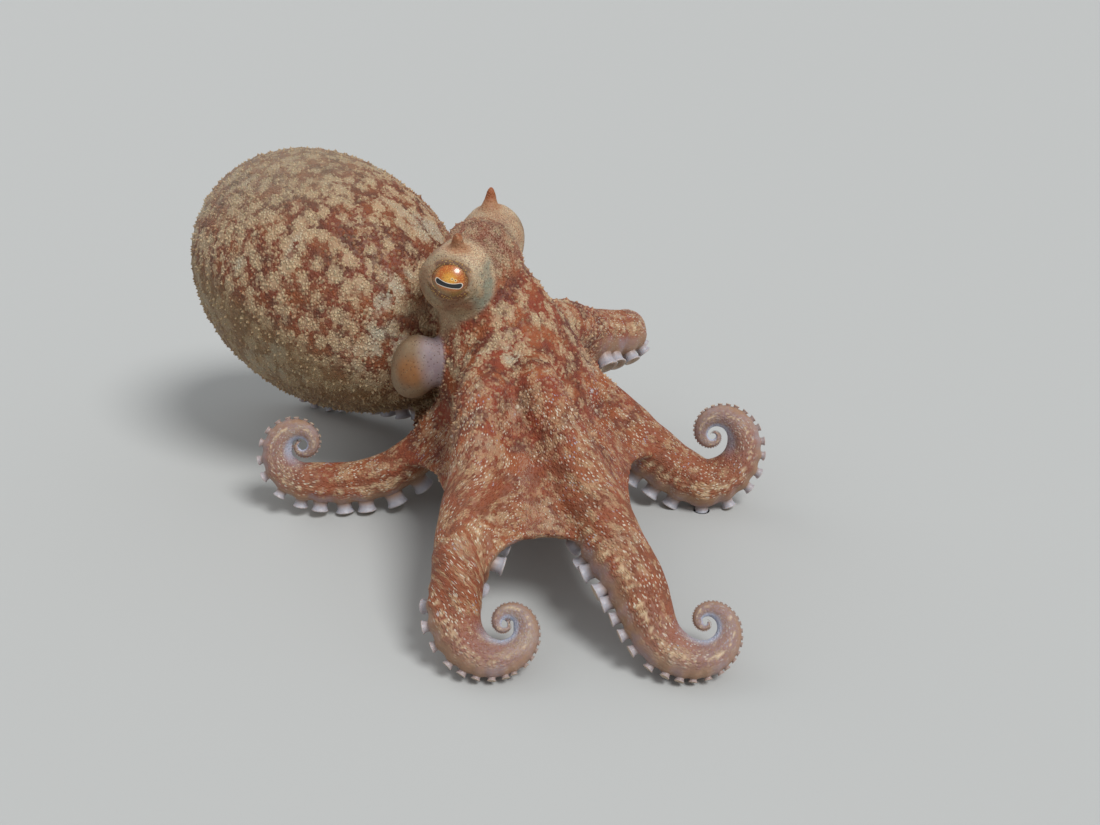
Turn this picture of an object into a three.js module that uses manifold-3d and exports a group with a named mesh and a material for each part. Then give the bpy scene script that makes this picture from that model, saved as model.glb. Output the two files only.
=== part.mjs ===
// Curled octopus at rest on a flat floor, life size, in millimetres, +Z up.
// X runs from the sac's side towards the leading arms, Y away from the animal's right side.
// The flesh is parted into named pieces by thin seams, and every piece is one closed body.
import * as THREE from "three";
import { mergeVertices } from "three/addons/utils/BufferGeometryUtils.js";
import Module from "manifold-3d";

const wasm = await Module();
wasm.setup();

// ---- driving dimensions ----
const seam = 0.3; // gap between neighbouring pieces
const middle = new THREE.Vector3(-30.8, 1.6, 0); // the floor point under the middle of the whole animal
const colours = { red: 0xa8563a, pale: 0xc9a184, lilac: 0xb9a9ac, ochre: 0xb98a5a, gold: 0xd08a2a };

const mantle = {
  centre: [-84, 45, 71], axis: [-0.763, 0.507, 0.401], length: 122, width: 93, egg: 0.05, sides: 20,
};
const head = { centre: [-25, 9, 84], axis: [0, 0, 1], length: 44, width: 33, sides: 12 };
const funnel = { centre: [-47, -9, 57], axis: [-0.35, -0.1, -0.93], length: 25, width: 18.5, sides: 10 };
const eyes = {
  right: { centre: [-33, -6, 88], gaze: [-0.03, -0.96, 0.28], bulb: 26 },
  left: { centre: [-21.5, 27, 93.5], gaze: [0.1, 0.95, 0.28], bulb: 27 },
};
const eyeball = { diameter: 17, forward: 5.4 }; // forward: from the bulb's centre along the gaze
const papillae = {
  right: { foot: [-31.5, -5, 94], tip: [-31, -10.5, 105], width: 10, point: 3 },
  left: { foot: [-22.5, 25, 98], tip: [-21.3, 27.5, 112.5], width: 11, point: 3 },
};
const crown = {
  path: [[-21, 8, 84], [-17.5, 6, 70], [-12.5, 2, 54], [-8.5, 0, 39], [-8, 1, 27]],
  radii: [15.5, 22.5, 28, 31, 25],
};
const web = { thickness: 3, attach: 0.4, sag: 6, arch: 0.18, round: 2.6, steps: 4 };
const sucker = { pitch: 1, rim: 0.48, stalk: 0.4, height: 0.46, smallest: 5.2, sides: 5, from: 0.62 };
const taper = { slope: 0.15, tip: 0.35, flat: 0.88 }; // half thickness per millimetre back from the tip
const mesh = { armSides: 7, baseSteps: 4, middleSteps: 4, tipSteps: 12, spiralStep: 15 };
const lengths = { base: 0.4, middle: 0.66 }; // where an arm is parted, as shares of its length

// An arm's middle follows its route out of the crown and ends in a flat spiral.  The spiral's plane
// is turned about Z and leans back from upright.  It starts at an angle from the plane's level line,
// and its radius is multiplied by shrink with each full turn.  The suckers face the floor near the
// crown and away from the spiral's middle in the spiral; roll says over which shares of the route
// they turn from one to the other.  Early turns them about the arm before that, twist after it.
const arms = {
  right1: {
    route: [[-9, 3, 67], [4.5, 4, 47.5], [21, 2, 34], [36, -1, 21.4], [47, -3.5, 13.2]],
    centre: [60.6, -1, 26.4], turn: 0, lean: 18, start: 259, sense: 1, turns: 1.75, radius: 18.2,
    shrink: 0.165, half: 11.5, suckers: 0.78, webEnd: 0.49,
  },
  right2: {
    route: [[-12, -8, 60], [-2, -33, 51], [9, -57, 39], [18, -77, 28], [24.5, -90.5, 21.3]],
    centre: [45.5, -102, 13.6], turn: 0, lean: 46, start: 194, sense: 1, turns: 1.67, radius: 15,
    shrink: 0.15, half: 11, suckers: 0.68, webEnd: 0.64,
  },
  right3: {
    route: [[-20, -10, 60], [-22, -32, 52], [-23, -54, 40.5], [-25, -75, 29], [-27.3, -91.5, 22.4]],
    centre: [-13, -102, 13], turn: 0, lean: 46, start: 165, sense: 1, turns: 1.75, radius: 15.6,
    shrink: 0.175, half: 11.5, suckers: 0.68, webEnd: 0.64, early: 75, roll: [0.85, 1.18],
  },
  right4: {
    route: [[-22, 0, 58], [-34, -3, 38], [-47, -6, 23], [-60, -9, 14.6], [-76, -10.5, 11.6]],
    centre: [-90.6, -8, 25.6], turn: 0, lean: 18, start: 285, sense: -1, turns: 1.6, radius: 13.8,
    shrink: 0.22, half: 8.4, suckers: 1.05, webEnd: 0.4,
  },
  left1: {
    route: [[-8, 10, 62], [4, 28, 57], [13, 42, 51]],
    centre: [19.5, 73, 43], turn: 0, lean: 99, start: -75, sense: 1, turns: 1.6, radius: 18.5, shrink: 0.17,
    half: 13, slope: 0.18, suckers: 0.85, webEnd: 0.48, twist: 50,
  },
  left2: {
    route: [[-14, 16, 58], [-8, 34, 44], [-6, 54, 30], [-7, 72, 21.4]],
    centre: [-10, 98, 21.8], turn: 92, lean: 0, start: 215, sense: 1, turns: 1.75, radius: 16, shrink: 0.16,
    half: 10.5, suckers: 0.95, webEnd: 0.54,
  },
  left3: {
    route: [[-20, 18, 56], [-26, 40, 38], [-34, 62, 25], [-44, 82, 18]],
    centre: [-56, 106, 23], turn: 118, lean: 0, start: 225, sense: 1, turns: 1.75, radius: 16, shrink: 0.16,
    half: 10.5, suckers: 0.95, webEnd: 0.54,
  },
  left4: {
    route: [[-26, 14, 54], [-40, 36, 33], [-60, 58, 21], [-82, 73, 16.5]],
    centre: [-108, 86, 23.4], turn: 155, lean: 0, start: 250, sense: 1, turns: 1.6, radius: 14.5,
    shrink: 0.18, half: 10, suckers: 0.95, webEnd: 0.5,
  },
};
// the arms in their order round the mouth
const armOrder = ["right1", "right2", "right3", "right4", "left4", "left3", "left2", "left1"];

// ---- helpers ----
const vec = (p) => new THREE.Vector3(...p);
const zUp = new THREE.Vector3(0, 0, 1);
const lerp = THREE.MathUtils.lerp;

// A closed solid from a geometry's triangles, with shared corners merged.
function solidOf(geometry) {
  const bare = geometry.clone();
  bare.deleteAttribute("uv");
  bare.deleteAttribute("normal");
  const merged = mergeVertices(bare, 1e-4);
  const vertProperties = new Float32Array(merged.attributes.position.array);
  const triVerts = new Uint32Array(merged.index.array);
  return new wasm.Manifold(new wasm.Mesh({ numProp: 3, vertProperties, triVerts }));
}

// The largest body of a solid, as a geometry; cutting may leave crumbs beside it.
function geometryOf(solid) {
  const bodies = solid.decompose().sort((a, b) => b.volume() - a.volume());
  const { vertProperties, triVerts } = bodies[0].getMesh();
  const geometry = new THREE.BufferGeometry();
  geometry.setAttribute("position", new THREE.BufferAttribute(vertProperties, 3));
  geometry.setIndex(new THREE.BufferAttribute(triVerts, 1));
  geometry.computeVertexNormals();
  return geometry;
}

// Moves every corner of a geometry by a function of its place.
function bend(geometry, place) {
  const corners = geometry.attributes.position;
  for (let i = 0; i < corners.count; i += 1) {
    const moved = place(corners.getX(i), corners.getY(i), corners.getZ(i));
    corners.setXYZ(i, moved.x, moved.y, moved.z);
  }
  return geometry;
}

// An egg: a sphere stretched along an axis, fuller towards the axis' far end.
function eggSolid({ centre, axis, length, width, egg = 0, sides }, grow = 0) {
  const turn = new THREE.Quaternion().setFromUnitVectors(new THREE.Vector3(0, 1, 0), vec(axis).normalize());
  const [long, wide] = [length / 2 + grow, width / 2 + grow];
  const ball = new THREE.SphereGeometry(1, sides, sides / 2 + 3);
  return solidOf(bend(ball, (x, y, z) => {
    const fuller = wide * (1 + egg * y);
    return new THREE.Vector3(x * fuller, y * long, z * fuller).applyQuaternion(turn).add(vec(centre));
  }));
}

// A ball of the given diameter.
function ballSolid(centre, diameter, grow = 0) {
  const ball = new THREE.SphereGeometry(diameter / 2 + grow, 10, 7);
  ball.rotateX(Math.PI / 2);
  return solidOf(ball.translate(centre.x, centre.y, centre.z));
}

// A round peg that narrows from its foot to its tip.
function pegSolid(foot, tip, footRadius, tipRadius, sides) {
  const along = tip.clone().sub(foot);
  const peg = new THREE.CylinderGeometry(tipRadius, footRadius, along.length(), sides);
  peg.translate(0, along.length() / 2, 0);
  const turn = new THREE.Quaternion().setFromUnitVectors(new THREE.Vector3(0, 1, 0), along.normalize());
  peg.applyQuaternion(turn);
  return solidOf(peg.translate(foot.x, foot.y, foot.z));
}

// ---- an arm's line, and its three directions and half thickness at a share of its length ----
function armLine(arm) {
  const turn = THREE.MathUtils.degToRad(arm.turn);
  const lean = THREE.MathUtils.degToRad(arm.lean);
  const across = new THREE.Vector3(Math.cos(turn), Math.sin(turn), 0);
  const back = new THREE.Vector3(-Math.sin(turn), Math.cos(turn), 0);
  const up = zUp.clone().multiplyScalar(Math.cos(lean)).addScaledVector(back, Math.sin(lean));
  const points = arm.route.map(vec);
  const steps = Math.round((arm.turns * 360) / mesh.spiralStep);
  for (let i = 0; i <= steps; i += 1) {
    const turned = (i * mesh.spiralStep) / 360;
    const angle = THREE.MathUtils.degToRad(arm.start) + arm.sense * turned * 2 * Math.PI;
    const radius = arm.radius * arm.shrink ** turned;
    const point = vec(arm.centre).addScaledVector(across, radius * Math.cos(angle));
    points.push(point.addScaledVector(up, radius * Math.sin(angle)));
  }
  const curve = new THREE.CatmullRomCurve3(points, false, "centripetal");
  curve.arcLengthDivisions = (points.length - 1) * 24;
  const run = curve.getLengths();
  const total = run[run.length - 1];
  const routeShare = run[(arm.route.length - 1) * 24] / total;
  const rolled = across.clone().cross(up).multiplyScalar(arm.sense); // the side direction in the spiral

  const { early = 0, twist = 0, slope = taper.slope, roll = [0.45, 1.1] } = arm;

  function at(share) {
    const along = curve.getTangentAt(share).normalize();
    const level = along.clone().cross(zUp).normalize();
    const blend = THREE.MathUtils.smoothstep(share / routeShare, ...roll);
    const side = level.lerp(rolled, blend).normalize();
    side.addScaledVector(along, -side.dot(along)).normalize();
    const top = side.clone().cross(along);
    const before = early * THREE.MathUtils.smoothstep(share / routeShare, 0.55, 0.9) * (1 - blend);
    side.applyAxisAngle(along, THREE.MathUtils.degToRad(before + twist * blend));
    const thin = slope * total * (1 - share) + taper.tip;
    return {
      point: curve.getPointAt(share),
      side,
      top, // where the webs are joined
      above: side.clone().cross(along), // away from the suckers
      half: (thin ** -4 + arm.half ** -4) ** -0.25,
    };
  }
  return { at, total, arm };
}

// One length of an arm: a cylinder whose rings follow the line.
function armSolid(line, from, to, steps, grow = 0, ease = 1) {
  const rod = new THREE.CylinderGeometry(1, 1, 1, mesh.armSides, steps);
  return solidOf(bend(rod, (x, y, z) => {
    const share = lerp(from, to, 1 - Math.max(0.5 - y, 0) ** ease);
    const { point, side, above, half } = line.at(THREE.MathUtils.clamp(share, 0, 1));
    const reach = half + grow;
    return point.addScaledVector(side, x * reach * taper.flat).addScaledVector(above, z * reach);
  }));
}

// The suckers' places along an arm: one row, closer together as the arm thins.
function suckerShares(line) {
  const shares = [];
  let share = sucker.from * line.arm.webEnd;
  while (share < 1 && line.at(share).half > sucker.smallest) {
    shares.push(share);
    share += (sucker.pitch * line.at(share).half * line.arm.suckers) / line.total;
  }
  return shares;
}

// A sucker: a short stalk that widens to its rim.
function suckerSolid(line, share, grow = 0) {
  const { point, above, half } = line.at(share);
  const size = half * line.arm.suckers;
  const foot = point.clone().addScaledVector(above, -half * 0.8);
  const rim = point.clone().addScaledVector(above, -half - sucker.height * size - grow);
  return pegSolid(foot, rim, sucker.stalk * size + grow, sucker.rim * size + grow, sucker.sides);
}

// The middle of the gap between the two suckers nearest to a wanted share.
function seamShare(shares, wanted) {
  const after = shares.findIndex((share) => share > wanted);
  return (shares[after - 1] + shares[after]) / 2;
}

// ---- crown: a bent cone of flesh from the head down to the mouth, which the arms grow out of ----
function crownSolid(grow = 0) {
  const curve = new THREE.CatmullRomCurve3(crown.path.map(vec), false, "centripetal");
  const rod = new THREE.CylinderGeometry(1, 1, 1, 14, 4);
  return solidOf(bend(rod, (x, y, z) => {
    const t = 0.5 - y;
    const place = t * (crown.radii.length - 1);
    const before = Math.min(Math.floor(place), crown.radii.length - 2);
    const radius = lerp(crown.radii[before], crown.radii[before + 1], place - before) + grow;
    const centre = curve.getPoint(t);
    centre.z += grow * Math.sign(y) * (Math.abs(y) > 0.49 ? 1 : 0);
    return centre.add(new THREE.Vector3(x * radius, -z * radius, 0));
  }));
}

// ---- web: a sheet slung between two neighbouring arms, its edge arched between them ----
function webSolid(lineA, lineB) {
  const sheet = new THREE.BoxGeometry(1, 1, 1, web.steps, web.steps, 1);
  const inward = vec(crown.path[4]);
  return solidOf(bend(sheet, (x, y, z) => {
    const across = x + 0.5;
    const bow = 1 - Math.abs(2 * across - 1) ** web.round;
    const down = (0.5 - y) * (1 - web.arch * bow);
    const [a, b] = [lineA, lineB].map((line) => {
      const station = line.at(down * line.arm.webEnd);
      return station.point.addScaledVector(station.top, web.attach * station.half);
    });
    const point = a.lerp(b, across);
    const sag = web.sag * bow * down;
    const outward = point.clone().sub(inward).normalize();
    return point.addScaledVector(outward, z * web.thickness - sag);
  }));
}

// ---- the pieces, each cut clear of those made before it ----
const animal = new THREE.Group();
animal.position.copy(middle).negate();
const floorCut = solidOf(new THREE.BoxGeometry(600, 600, 40).translate(0, 0, -20));

function addPiece(name, solid, colour, roughness = 0.45) {
  const material = new THREE.MeshStandardMaterial({ color: colour, roughness, metalness: 0 });
  const piece = new THREE.Mesh(geometryOf(solid), material);
  piece.name = name;
  animal.add(piece);
}

const cutters = [];
const cutAll = (solid) => cutters.reduce((left, cutter) => left.subtract(cutter), solid);

for (const [side, eye] of Object.entries(eyes)) {
  const ball = vec(eye.centre).addScaledVector(vec(eye.gaze).normalize(), eyeball.forward);
  addPiece(`eye_${side}`, ballSolid(ball, eyeball.diameter), colours.gold, 0.15);
  cutters.push(ballSolid(ball, eyeball.diameter, seam));
}
for (const [side, eye] of Object.entries(eyes)) {
  addPiece(`eye_bulb_${side}`, cutAll(ballSolid(vec(eye.centre), eye.bulb)), colours.pale);
  cutters.push(ballSolid(vec(eye.centre), eye.bulb, seam));
}
for (const [side, spike] of Object.entries(papillae)) {
  const solid = pegSolid(vec(spike.foot), vec(spike.tip), spike.width / 2, spike.point / 2, 8);
  addPiece(`papilla_${side}`, cutAll(solid), colours.ochre);
  cutters.push(pegSolid(vec(spike.foot), vec(spike.tip), spike.width / 2 + seam, spike.point / 2 + seam, 8));
}
for (const [name, egg, colour] of [
  ["funnel", funnel, colours.lilac],
  ["head", head, colours.red],
  ["mantle", mantle, colours.red],
]) {
  addPiece(name, cutAll(eggSolid(egg)), colour);
  cutters.push(eggSolid(egg, seam));
}
addPiece("crown", cutAll(crownSolid()), colours.red);
cutters.push(crownSolid(seam));

const lines = Object.fromEntries(Object.entries(arms).map(([name, arm]) => [name, armLine(arm)]));
for (const name of armOrder) {
  const line = lines[name];
  const gap = seam / line.total;
  const shares = suckerShares(line);
  const [firstSeam, secondSeam] = [lengths.base, lengths.middle].map((wanted) => seamShare(shares, wanted));
  const spans = [
    ["base", 0, firstSeam, mesh.baseSteps, 1],
    ["middle", firstSeam + gap, secondSeam, mesh.middleSteps, 1],
    ["tip", secondSeam + gap, 1, mesh.tipSteps, 1.4],
  ];
  const clearances = [];
  const withSuckers = (arm, from, to, grow) => shares
    .filter((share) => share > from && share < to)
    .reduce((solid, share) => solid.add(suckerSolid(line, share, grow)), arm);
  for (const [part, from, to, steps, ease] of spans) {
    const flesh = withSuckers(armSolid(line, from, to, steps, 0, ease), from, to, 0);
    const cut = [...clearances, floorCut].reduce(
      (left, cutter) => left.subtract(cutter),
      part === "tip" ? flesh : cutAll(flesh),
    );
    addPiece(`arm_${name}_${part}`, cut, part === "tip" ? colours.lilac : colours.red);
    const wider = armSolid(line, from - gap * 0.6, to + gap * 0.6, steps, seam, ease);
    clearances.push(withSuckers(wider, from, to, seam));
  }
  cutters.push(clearances[0].add(clearances[1]));
}
armOrder.forEach((name, i) => {
  const next = armOrder[(i + 1) % armOrder.length];
  addPiece(`web_${name}_${next}`, cutAll(webSolid(lines[next], lines[name])), colours.red);
});

export default animal;
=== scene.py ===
import math
import bpy
import numpy as np
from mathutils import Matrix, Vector


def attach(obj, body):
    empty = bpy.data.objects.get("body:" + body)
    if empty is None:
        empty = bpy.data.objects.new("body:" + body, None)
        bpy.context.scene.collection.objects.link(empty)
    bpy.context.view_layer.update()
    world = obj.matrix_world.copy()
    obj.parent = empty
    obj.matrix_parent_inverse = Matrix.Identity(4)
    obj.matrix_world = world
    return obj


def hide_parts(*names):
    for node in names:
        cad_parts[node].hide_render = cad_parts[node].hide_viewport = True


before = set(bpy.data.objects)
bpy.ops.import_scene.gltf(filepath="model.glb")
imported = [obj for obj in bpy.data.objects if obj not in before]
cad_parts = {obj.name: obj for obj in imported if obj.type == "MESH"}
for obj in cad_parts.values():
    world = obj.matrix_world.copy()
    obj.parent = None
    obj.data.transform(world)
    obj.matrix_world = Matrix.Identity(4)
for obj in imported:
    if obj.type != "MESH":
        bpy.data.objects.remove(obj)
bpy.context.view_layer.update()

# Curled octopus, life size.  Shapes are worked out in millimetres in a layout whose floor is z = 0,
# X runs from the sac to the leading arms and Y away from the animal's right side; meshes are in metres.
mm = 0.001
middle = np.array([-30.8, 1.6, 0.0])  # the model's origin, seen in the layout


def unit(v):
    v = np.asarray(v, float)
    return v / np.maximum(np.linalg.norm(v, axis=-1, keepdims=True), 1e-9)


def ease(x, start, end):
    # 0 at start, 1 at end, level at both: t * t * (3 - 2 t)
    t = np.clip((np.asarray(x, float) - start) / (end - start), 0, 1)
    return t * t * (3 - 2 * t)


# camera, floor and lights
view = {"place": (0, -370, 200), "lookDown": 24, "lens": 36, "sensor": 36}
stage = {"size": 30.0, "colour": (0.5, 0.51, 0.5), "roughness": 0.9, "sky": (0.95, 0.97, 1.0), "light": 0.44}
lamps = {
    # name: direction it shines in, softness in degrees, strength
    "keyLamp": ((-0.42, 0.42, -0.8), 22, 2.2),
    "backLamp": ((0.6, -0.5, -0.6), 40, 0.45),
}


def addObject(name, data):
    made = bpy.data.objects.new(name, data)
    bpy.context.collection.objects.link(made)
    return made


def setCamera():
    camera = addObject("camera", bpy.data.cameras.new("camera"))
    camera.data.lens = view["lens"]
    camera.data.sensor_width = view["sensor"]
    camera.data.sensor_fit = "HORIZONTAL"
    camera.data.clip_start = 0.01
    camera.location = Vector((view["place"] - middle) * mm)
    camera.rotation_euler = (math.radians(90 - view["lookDown"]), 0, 0)
    bpy.context.scene.camera = camera


def setStage():
    half = stage["size"] / 2
    floorMesh = bpy.data.meshes.new("floor")
    corners = [(-half, -half, 0), (half, -half, 0), (half, half, 0), (-half, half, 0)]
    floorMesh.from_pydata(corners, [], [(0, 1, 2, 3)])
    paint = bpy.data.materials.new("floorPaint")
    paint.use_nodes = True
    shader = paint.node_tree.nodes["Principled BSDF"]
    shader.inputs["Base Color"].default_value = (*stage["colour"], 1)
    shader.inputs["Roughness"].default_value = stage["roughness"]
    floorMesh.materials.append(paint)
    addObject("floor", floorMesh)
    world = bpy.data.worlds.new("studio")
    bpy.context.scene.world = world
    world.use_nodes = True
    sky = world.node_tree.nodes["Background"]
    sky.inputs["Color"].default_value = (*stage["sky"], 1)
    sky.inputs["Strength"].default_value = stage["light"]
    for name, (direction, softness, strength) in lamps.items():
        lamp = addObject(name, bpy.data.lights.new(name, "SUN"))
        lamp.data.angle = math.radians(softness)
        lamp.data.energy = strength
        lamp.rotation_euler = Vector(direction).to_track_quat("-Z", "Y").to_euler()


setCamera()
setStage()
bpy.context.scene.view_settings.view_transform = "Standard"
print("camera, floor and lights set")

# the body's driving dimensions
mantle = {"centre": (-84, 45, 71), "axis": (-0.763, 0.507, 0.401), "length": 122, "width": 93, "egg": 0.05}
head = {"centre": (-25, 9, 84), "axis": (0, 0, 1), "length": 44, "width": 33, "egg": 0}
funnel = {"centre": (-47, -9, 57), "axis": (-0.35, -0.1, -0.93), "length": 25, "width": 18.5, "egg": 0}
eyeBulbs = {
    "right": {"centre": (-33, -6, 88), "gaze": (-0.03, -0.96, 0.28), "bulb": 26, "roll": -13},
    "left": {"centre": (-21.5, 27, 93.5), "gaze": (0.1, 0.95, 0.28), "bulb": 27, "roll": 13},
}
papillae = {
    "right": {"foot": (-31.5, -5, 94), "tip": (-31, -10.5, 105), "width": 15, "point": 3.2},
    "left": {"foot": (-22.5, 25, 98), "tip": (-21.3, 27.5, 112.5), "width": 20, "point": 3.4},
}
crown = {
    "path": [(-21, 8, 84), (-17.5, 6, 70), (-12.5, 2, 54), (-8.5, 0, 39), (-8, 1, 27)],
    "radii": [15.5, 22.5, 28, 31, 25],
}
web = {"thickness": 3.0, "edge": 2.3, "attach": 0.4, "sag": 6, "arch": 0.18}
taper = {"tip": 0.35, "flat": 0.88}
# sizes as shares of the arm's half thickness; they grow from tipSize to full over two distances from the tip
suckers = {"pitch": 1.0, "rim": 0.435, "height": 0.44, "smallest": 0.5, "tipSize": 0.52, "grows": (12, 78)}
spiralStep = 15  # degrees between points of a spiral
spanPoints = 24  # points of a curve between two of the places that it runs through

# An arm's middle follows its route out of the crown and ends in a flat spiral.  The spiral's plane is
# turned about Z and leans back from upright, and its radius is multiplied by shrink with each turn.
# The slope is the half thickness gained per millimetre from the tip; from is where the suckers start, as
# a share of the web's length; roll is where the arm turns into the spiral's plane, as shares of the route.
usualArm = {
    "turn": 0, "lean": 0, "sense": 1, "twist": 0, "early": 0, "roll": (0.45, 1.1),
    "slope": 0.15, "from": 0.46,
}
arms = {
    "right1": {
        "route": [(-9, 3, 67), (4.5, 4, 47.5), (21, 2, 34), (36, -1, 21.4), (47, -3.5, 13.2)],
        "centre": (60.6, -1, 26.4), "lean": 18, "start": 259, "turns": 1.75,
        "radius": 18.2, "shrink": 0.165, "half": 11.5, "suckers": 0.78, "webEnd": 0.49,
    },
    "right2": {
        "route": [(-12, -8, 60), (-2, -33, 51), (9, -57, 39), (18, -77, 28), (24.5, -90.5, 21.3)],
        "centre": (45.5, -102, 13.6), "lean": 46, "start": 194, "turns": 1.67,
        "radius": 15, "shrink": 0.15, "half": 11, "suckers": 0.68, "webEnd": 0.64,
    },
    "right3": {
        "route": [(-20, -10, 60), (-22, -32, 52), (-23, -54, 40.5), (-25, -75, 29), (-27.3, -91.5, 22.4)],
        "centre": (-13, -102, 13), "lean": 46, "start": 165, "turns": 1.75,
        "radius": 15.6, "shrink": 0.175, "half": 11.5, "suckers": 0.68, "webEnd": 0.64,
        "early": 75, "roll": (0.85, 1.18),
    },
    "right4": {
        "route": [(-22, 0, 58), (-34, -3, 38), (-47, -6, 23), (-60, -9, 14.6), (-76, -10.5, 11.6)],
        "centre": (-90.6, -8, 25.6), "lean": 18, "start": 285, "sense": -1, "turns": 1.6,
        "radius": 13.8, "shrink": 0.22, "half": 8.4, "suckers": 1.05, "webEnd": 0.4,
    },
    "left4": {
        "route": [(-26, 14, 54), (-40, 36, 33), (-60, 58, 21), (-82, 73, 16.5)],
        "centre": (-108, 86, 23.4), "turn": 155, "start": 250, "turns": 1.6,
        "radius": 14.5, "shrink": 0.18, "half": 10, "suckers": 0.84, "webEnd": 0.5,
    },
    "left3": {
        "route": [(-20, 18, 56), (-26, 40, 38), (-34, 62, 25), (-44, 82, 18)],
        "centre": (-56, 106, 23), "turn": 118, "start": 225, "turns": 1.75,
        "radius": 16, "shrink": 0.16, "half": 10.5, "suckers": 0.84, "webEnd": 0.54,
    },
    "left2": {
        "route": [(-14, 16, 58), (-8, 34, 44), (-6, 54, 30), (-7, 72, 21.4)],
        "centre": (-10, 98, 21.8), "turn": 92, "start": 215, "turns": 1.75,
        "radius": 16, "shrink": 0.16, "half": 10.5, "suckers": 0.84, "webEnd": 0.54,
    },
    "left1": {
        "route": [(-8, 10, 62), (4, 28, 57), (13, 42, 51)],
        "centre": (19.5, 73, 43), "lean": 99, "start": -75, "turns": 1.6, "twist": 50,
        "radius": 18.5, "shrink": 0.17, "half": 13, "slope": 0.18,
        "suckers": 0.85, "webEnd": 0.48, "from": 0.78,
    },
}
arms = {name: {**usualArm, **arm} for name, arm in arms.items()}
armNames = list(arms)  # in their order round the mouth


# an arm's line
def splineThrough(points):
    # centripetal Catmull-Rom: knots spaced by the square root of the chord, blended pair by pair
    p = np.asarray(points, float)
    p = np.vstack([2 * p[0] - p[1], p, 2 * p[-1] - p[-2]])
    a, b, c, d = (p[i:len(p) - 3 + i, None] for i in range(4))
    knot = [np.zeros(a.shape[:1] + (1, 1))]
    for near, far in ((a, b), (b, c), (c, d)):
        knot.append(knot[-1] + np.sqrt(np.linalg.norm(far - near, axis=2, keepdims=True)))
    t = knot[1] + (knot[2] - knot[1]) * np.linspace(0, 1, spanPoints, endpoint=False)[None, :, None]

    def mix(low, high, i, j):
        return ((knot[j] - t) * low + (t - knot[i]) * high) / (knot[j] - knot[i])

    ab, bc, cd = mix(a, b, 0, 1), mix(b, c, 1, 2), mix(c, d, 2, 3)
    curve = mix(mix(ab, bc, 0, 2), mix(bc, cd, 1, 3), 1, 2)
    return np.vstack([curve.reshape(-1, 3), p[-2]])


def armLine(arm, count=260):
    # stations along an arm, closer together towards its tip, with their directions and half thickness
    turn, lean = math.radians(arm["turn"]), math.radians(arm["lean"])
    across = np.array([math.cos(turn), math.sin(turn), 0])
    back = np.array([-math.sin(turn), math.cos(turn), 0])
    up = np.array([0, 0, 1]) * math.cos(lean) + back * math.sin(lean)
    turned = np.arange(round(arm["turns"] * 360 / spiralStep) + 1) * spiralStep / 360
    angle = np.radians(arm["start"]) + arm["sense"] * turned * 2 * np.pi
    radius = arm["radius"] * arm["shrink"] ** turned
    spiral = arm["centre"] + radius[:, None] * (np.cos(angle)[:, None] * across + np.sin(angle)[:, None] * up)
    fine = splineThrough(np.vstack([arm["route"], spiral]))
    run = np.r_[0, np.cumsum(np.linalg.norm(np.diff(fine, axis=0), axis=1))]
    total = run[-1]
    routeEnd = run[(len(arm["route"]) - 1) * spanPoints]
    s = total * (1 - (1 - np.linspace(0, 1, count)) ** 1.35)
    centre = np.stack([np.interp(s, run, fine[:, k]) for k in range(3)], 1)
    along = unit(np.gradient(centre, axis=0))
    level = unit(np.cross(along, [0, 0, 1]))
    rolled = np.cross(across, up) * arm["sense"]
    blend = ease(s / routeEnd, *arm["roll"])[:, None]
    side = unit(level * (1 - blend) + rolled * blend)
    side = unit(side - np.sum(side * along, 1)[:, None] * along)
    top = np.cross(side, along)
    twist = math.radians(arm["twist"]) * blend
    twist = twist + math.radians(arm["early"]) * ease(s / routeEnd, 0.55, 0.9)[:, None] * (1 - blend)
    side = side * np.cos(twist) + np.cross(along, side) * np.sin(twist)
    thin = arm["slope"] * (total - s) + taper["tip"]
    half = (thin ** -4 + arm["half"] ** -4.0) ** -0.25
    # sucker numbers grow by one for each pitch of a sucker's own size
    grown = ease(total - s, *suckers["grows"])
    sucker = half * arm["suckers"] * (suckers["tipSize"] + (1 - suckers["tipSize"]) * grown)
    step = suckers["pitch"] * sucker
    first = arm["from"] * arm["webEnd"] * total
    phase = np.r_[0, np.cumsum(np.diff(s) * 2 / (step[1:] + step[:-1]))]
    phase -= np.interp(first, s, phase)
    return {
        "centre": centre, "along": along, "side": side, "above": np.cross(side, along), "top": top,
        "half": half, "s": s, "left": total - s, "total": total, "phase": phase,
        "webEnd": arm["webEnd"], "sucker": sucker,
    }


def atRun(line, key, s):
    # a station's value at any run along the arm
    values = line[key]
    if values.ndim == 1:
        return np.interp(s, line["s"], values)
    return np.stack([np.interp(s, line["s"], values[:, k]) for k in range(3)], -1)


lines = {name: armLine(arm) for name, arm in arms.items()}


# surfaces on a grid
def roundAngles(count):
    return np.linspace(0, 2 * np.pi, count, endpoint=False)


def gridFaces(rows, columns):
    # quads between neighbouring rows and columns; the last column joins the first
    r, c = np.meshgrid(np.arange(rows - 1), np.arange(columns), indexing="ij")
    right = (c + 1) % columns
    corners = (r * columns + c, r * columns + right, (r + 1) * columns + right, (r + 1) * columns + c)
    return np.stack(corners, -1).reshape(-1, 4)


def closedTube(rings):
    # rings (rows, columns, 3) carried along a path, with each end drawn in to its middle
    ends = [np.broadcast_to(ring.mean(0), rings[:1].shape) for ring in (rings[0], rings[-1])]
    capped = np.concatenate([ends[0], rings, ends[1]])
    return capped.reshape(-1, 3), gridFaces(len(capped), rings.shape[1])


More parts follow.
